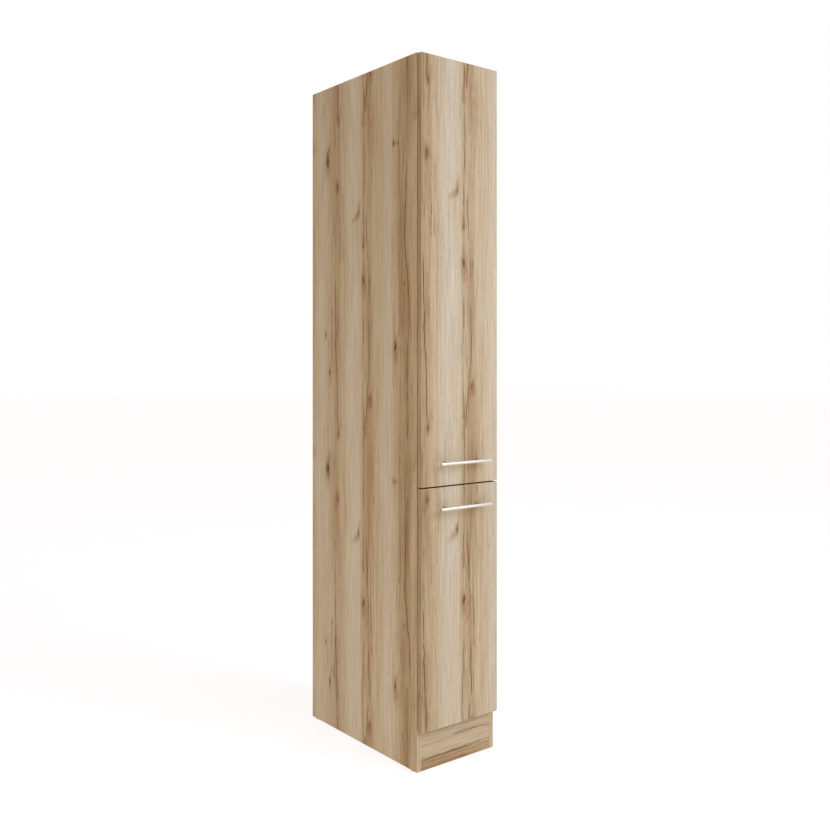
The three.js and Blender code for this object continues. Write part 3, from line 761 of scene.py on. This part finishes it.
SCREW_RADIUS = 0.004
HANDLE_SHAFT_RADIUS = 0.002
HEAD_GAP = 0.0003  # a handle screw's head stands this far off the front
BRACKET_HEAD = 0.0024
BRACKET_HOLE_RISE = 0.022  # from a bracket's middle up or down to its screws
WING_HOLE_ACROSS = 0.034
WING_THICKNESS = 0.002
FLANGE_OUT = 0.0023  # from the hoop's side to the outer face of a bracket's flange
FLANGE_HOLE_BACK = 0.0075
PAN_WALL = 0.0015
PAN_HEAD = 0.0022
RAIL_SCREW_RADIUS = 0.0034
RAIL_SCREW_HEAD = 0.0011
RAIL_SCREW_SHIFT = 0.012  # a cabinet member's screws sit this far behind the carriage member's rivets
RIVET = [(0, 0.0009), (0.0024, 0.0009), (0.0033, 0.0004), (0.0035, 0), (0, 0)]
COMPARTMENT_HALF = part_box("middle_shelf")[1].x
for unit in ("upper", "lower"):
    pull_out = f"{unit}_pull_out"
    for side in ("left", "right"):
        node = f"{unit}_handle_screw_{side}"
        low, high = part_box(node)
        centre = (low + high) / 2
        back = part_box(f"{unit}_front")[1].y + HEAD_GAP
        screw = bmesh.new()
        seat = (centre.x, back, centre.z)
        pan_screw(screw, seat, (0, 1, 0), SCREW_RADIUS, high.y - back, HANDLE_SHAFT_RADIUS, back - low.y)
        piece(f"{unit}_handle_fixing_{side}", screw, ZINC, pull_out, [node], 35)

    hoop_low, hoop_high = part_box(f"{unit}_hoop_frame")
    for level in ("low", "high"):
        low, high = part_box(f"{unit}_front_bracket_{level}")
        middle = (low.z + high.z) / 2
        screws = bmesh.new()
        for side in (-1, 1):
            for rise in (-BRACKET_HOLE_RISE, BRACKET_HOLE_RISE):
                wing = (side * WING_HOLE_ACROSS, low.y + WING_THICKNESS, middle + rise)
                pan_screw(screws, wing, (0, 1, 0), SCREW_RADIUS, BRACKET_HEAD)
                flange = (side * (hoop_high.x + FLANGE_OUT), hoop_low.y + FLANGE_HOLE_BACK, middle + rise)
                pan_screw(screws, flange, (side, 0, 0), SCREW_RADIUS, BRACKET_HEAD)
        piece(f"{unit}_bracket_screws_{level}", screws, ZINC, pull_out, smooth=35)

    pan_low, pan_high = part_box(f"{unit}_carriage_pan")
    rail_low, rail_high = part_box(f"{unit}_carriage_rail_left")
    rail_level = (rail_low.z + rail_high.z) / 2
    screws = bmesh.new()
    for side in (-1, 1):
        for share in (0.12, 0.5, 0.88):
            along = pan_low.y + share * (pan_high.y - pan_low.y)
            seat = (side * (pan_high.x - PAN_WALL), along, rail_level)
            pan_screw(screws, seat, (-side, 0, 0), SCREW_RADIUS, PAN_HEAD)
    piece(f"{unit}_carriage_screws", screws, ZINC, pull_out, smooth=35)

    rivets, fixings = bmesh.new(), bmesh.new()
    for side in (-1, 1):
        for share in (0.05, 0.3, 0.7, 0.95):
            along = rail_low.y + share * (rail_high.y - rail_low.y)
            turned(rivets, RIVET, (side * (-rail_high.x + RAIL_WALL), along, rail_level), (side, 0, 0))
            seat = (side * (COMPARTMENT_HALF - RAIL_WALL), along + RAIL_SCREW_SHIFT, rail_level)
            pan_screw(fixings, seat, (-side, 0, 0), RAIL_SCREW_RADIUS, RAIL_SCREW_HEAD)
    piece(f"{unit}_carriage_rivets", rivets, ZINC, pull_out, smooth=35)
    piece(f"{unit}_rail_fixings", fixings, ZINC, "carcass", smooth=35)


# ------------------------------------------------------------------------------ bumper pads and nails
# Soft white pads are stuck to the back of each front near its corners, as a cushion against the carcass. The
# hardboard is nailed to the rear edges of the top, the shelf and the bottom with small flat-headed nails.
PAD = [(0, 0.0024), (0.0028, 0.0022), (0.0041, 0.0014), (0.0045, 0), (0, 0)]
PAD_ACROSS = 0.1415
PAD_FROM_END = 0.03
for unit in ("upper", "lower"):
    low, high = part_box(f"{unit}_front")
    pads = bmesh.new()
    for side in (-1, 1):
        for level in (low.z + PAD_FROM_END, high.z - PAD_FROM_END):
            turned(pads, PAD, (side * PAD_ACROSS, high.y, level), (0, 1, 0))
    piece(f"{unit}_bumper_pads", pads, WHITE_PLASTIC, f"{unit}_pull_out", smooth=50)

NAIL_HEAD = [(0, 0.0006), (0.002, 0.0005), (0.0024, 0.0), (0, 0.0)]
NAILS_ACROSS = (-0.11, -0.037, 0.037, 0.11)
nails = bmesh.new()
back_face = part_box("back_panel_upper")[1].y
for node, raised in (("top_panel", 0.0), ("middle_shelf", 0.004), ("bottom_panel", 0.0)):
    low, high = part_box(node)
    for across in NAILS_ACROSS:
        seat = (across, back_face, (low.z + high.z) / 2 + raised)
        turned(nails, NAIL_HEAD, seat, (0, 1, 0), 12)
piece("back_nails", nails, ZINC, "carcass", smooth=35)


# ------------------------------------------------------------------------------ cover caps
# The shelves are pulled against the sides by cam fittings in their undersides. Pressed-in plastic caps cover
# them, two at each end of a shelf.
BEIGE_PLASTIC = moulded("beige_plastic", colour(196, 176, 148), 0.5)
CAP_RADIUS = 0.0085
CAP = [(0, 0.0009), (CAP_RADIUS * 0.86, 0.0009), (CAP_RADIUS * 0.97, 0.0006), (CAP_RADIUS, 0), (0, 0)]
CAP_FROM_SIDE = 0.034
CAP_FROM_END = 0.06
for node in ("top_panel", "middle_shelf", "bottom_panel"):
    low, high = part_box(node)
    caps = bmesh.new()
    for across in (low.x + CAP_FROM_SIDE, high.x - CAP_FROM_SIDE):
        for along in (low.y + CAP_FROM_END, high.y - CAP_FROM_END):
            turned(caps, CAP, (across, along, low.z), (0, 0, -1), 32)
    piece(f"{node}_caps", caps, BEIGE_PLASTIC, "carcass", smooth=35)


# ------------------------------------------------------------------------------ trays
# White-coated 10 mm boards with a round-cornered plastic edging. A welded gallery of chromed wire stands on
# each: a rim, a thinner wire half way up, stays along the sides, and a screwed hanger plate at each end.
def melamine():
    """White foil with a faint orange peel and the light scuffs of use."""
    material, shader, start = new_paint("white_melamine")
    place = start.node("TexCoord", None, None, "Object")
    peel = start.node("TexNoise", None, {"Vector": place, "Scale": 900.0, "Detail": 2.0})
    scuffs = start.node("TexNoise", None, {"Vector": place, "Scale": 28.0, "Detail": 6.0, "Roughness": 0.7})
    foil = scuffs.rise(0.35, 0.75).mix(colour(240, 239, 235), colour(229, 228, 222))
    bump = start.node("Bump", None, {"Strength": 0.15, "Distance": 0.00006, "Height": peel})
    connect(shader, Base_Color=foil, Roughness=scuffs * 0.25 + 0.3, Normal=bump)
    return material


def chrome():
    """Bright chrome plate, a little cloudy."""
    material, shader, start = new_paint("chrome_plate")
    place = start.node("TexCoord", None, None, "Object")
    cloud = start.node("TexNoise", None, {"Vector": place, "Scale": 120.0, "Detail": 3.0})
    plate = cloud.rise(0.3, 0.7).mix(colour(214, 217, 220), colour(236, 238, 240))
    bump = start.node("Bump", None, {"Strength": 0.05, "Distance": 0.00003, "Height": cloud})
    connect(shader, Base_Color=plate, Metallic=1.0, Roughness=cloud * 0.12 + 0.06, Normal=bump)
    return material


MELAMINE = melamine()
CHROME = chrome()
EDGING = moulded("white_edging", colour(232, 231, 226), 0.4)
RIM_RADIUS = 0.003
THIN_RADIUS = 0.002
WIRE_SIDES = 14
WIRE_BEND = 0.015
BEND_STEPS = 6
STAY_SHARES = (0.06, 0.35, 0.65, 0.94)
STAY_INSET = 0.002  # the stays stand this far inside the wires' centre lines
STAY_GAP = 0.0002  # and end this far above the gallery's foot
RIM_BEAD = 0.0026
THIN_BEAD = 0.0024
PLATE_WIDTH = 0.044
PLATE_THICKNESS = 0.0032
PLATE_DROP = 0.008  # a hanger plate reaches this far below the thinner wire
PLATE_OVERHANG = 0.0042  # a hanger plate's outer face to the centre line of the wires
PLATE_SCREW_RADIUS = 0.0042
PLATE_SCREW_HEAD = 0.0022
PLATE_SCREWS_ACROSS = (-0.009, 0.009)


def only(kind, made):
    """The items of one kind among those that an operator has made."""
    return [item for item in made if isinstance(item, kind)]


def wire_ahead(shape, ring, step):
    """Draws the wire's open end on in a straight line."""
    made = bmesh.ops.extrude_edge_only(shape, edges=ring)["geom"]
    ends = set(only(bmesh.types.BMVert, made))
    bmesh.ops.translate(shape, verts=list(ends), vec=step)
    return [edge for edge in only(bmesh.types.BMEdge, made) if set(edge.verts) <= ends]


def wire_round(shape, ring, centre):
    """Bends the wire's open end through a quarter turn to the left."""
    corners = list(dict.fromkeys(vert for edge in ring for vert in edge.verts))
    made = bmesh.ops.spin(
        shape, geom=corners + ring, cent=centre, axis=(0, 0, 1), angle=math.pi / 2, steps=BEND_STEPS,
        use_merge=False, use_duplicate=False,
    )["geom_last"]
    return only(bmesh.types.BMEdge, made)


def wire_loop(shape, half_width, front, rear, level, radius):
    """Adds a closed wire round a tray. Its ends meet in the middle of the front."""
    before = set(shape.verts)
    straight, depth = half_width - WIRE_BEND, rear - front - 2 * WIRE_BEND
    matrix = Matrix.Translation((0, front, level)) @ ALONG["X"]
    circle = bmesh.ops.create_circle(
        shape, cap_ends=False, segments=WIRE_SIDES, radius=radius, matrix=matrix
    )["verts"]
    ring = list(dict.fromkeys(edge for vert in circle for edge in vert.link_edges))
    ring = wire_ahead(shape, ring, (straight, 0, 0))
    ring = wire_round(shape, ring, (straight, front + WIRE_BEND, level))
    ring = wire_ahead(shape, ring, (0, depth, 0))
    ring = wire_round(shape, ring, (straight, rear - WIRE_BEND, level))
    ring = wire_ahead(shape, ring, (-2 * straight, 0, 0))
    ring = wire_round(shape, ring, (-straight, rear - WIRE_BEND, level))
    ring = wire_ahead(shape, ring, (0, -depth, 0))
    ring = wire_round(shape, ring, (-straight, front + WIRE_BEND, level))
    wire_ahead(shape, ring, (straight, 0, 0))
    added = [vert for vert in shape.verts if vert not in before]
    bmesh.ops.remove_doubles(shape, verts=added, dist=1e-5)
    faces = [face for face in shape.faces if not set(face.verts) & before]
    bmesh.ops.recalc_face_normals(shape, faces=faces)


for unit, trays in (("upper", 3), ("lower", 2)):
    pull_out = f"{unit}_pull_out"
    for number in range(1, trays + 1):
        node = f"{unit}_tray_base_{number}"
        tray = copied(node)
        soften(tray, 0.0012, 3, math.radians(50))
        paints = {"Z": MELAMINE, "all": EDGING}
        piece(f"{unit}_tray_{number}", tray, paints, pull_out, [node], 40)

        node = f"{unit}_tray_gallery_{number}"
        low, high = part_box(node)
        half_width = high.x - RIM_RADIUS
        front, rear = low.y + PLATE_OVERHANG, high.y - PLATE_OVERHANG
        rim, middle = high.z - RIM_RADIUS, (low.z + high.z) / 2
        weld_level = rim + RIM_RADIUS / 3
        gallery = bmesh.new()
        wire_loop(gallery, half_width, front, rear, rim, RIM_RADIUS)
        wire_loop(gallery, half_width, front, rear, middle, THIN_RADIUS)
        for side in (-1, 1):
            across = side * (half_width - STAY_INSET)
            for share in STAY_SHARES:
                along = front + share * (rear - front)
                height = weld_level - low.z - STAY_GAP
                centre = (across, along, weld_level - height / 2)
                add_rod(gallery, "Z", centre, THIN_RADIUS, height, WIRE_SIDES)
                bead(gallery, (across, along, rim), RIM_BEAD)
                bead(gallery, (across, along, middle), THIN_BEAD)
        piece(f"{unit}_gallery_{number}", gallery, CHROME, pull_out, [node], 50)

        plates = bmesh.new()
        for outer, way in ((low.y, 1), (high.y, -1)):
            plate_low, plate_high = middle - PLATE_DROP, weld_level
            centre = (0, outer + way * PLATE_THICKNESS / 2, (plate_low + plate_high) / 2)
            size = Matrix.Diagonal((PLATE_WIDTH, PLATE_THICKNESS, plate_high - plate_low, 1))
            bmesh.ops.create_cube(plates, size=1, matrix=Matrix.Translation(centre) @ size)
        soften(plates, 0.0008, 2)
        for outer, way in ((low.y, 1), (high.y, -1)):
            for across in PLATE_SCREWS_ACROSS:
                seat = (across, outer + way * PLATE_THICKNESS, (middle + rim) / 2 + 0.001)
                pan_screw(plates, seat, (0, way, 0), PLATE_SCREW_RADIUS, PLATE_SCREW_HEAD)
        piece(f"{unit}_hanger_plates_{number}", plates, CHROME, pull_out, smooth=35)
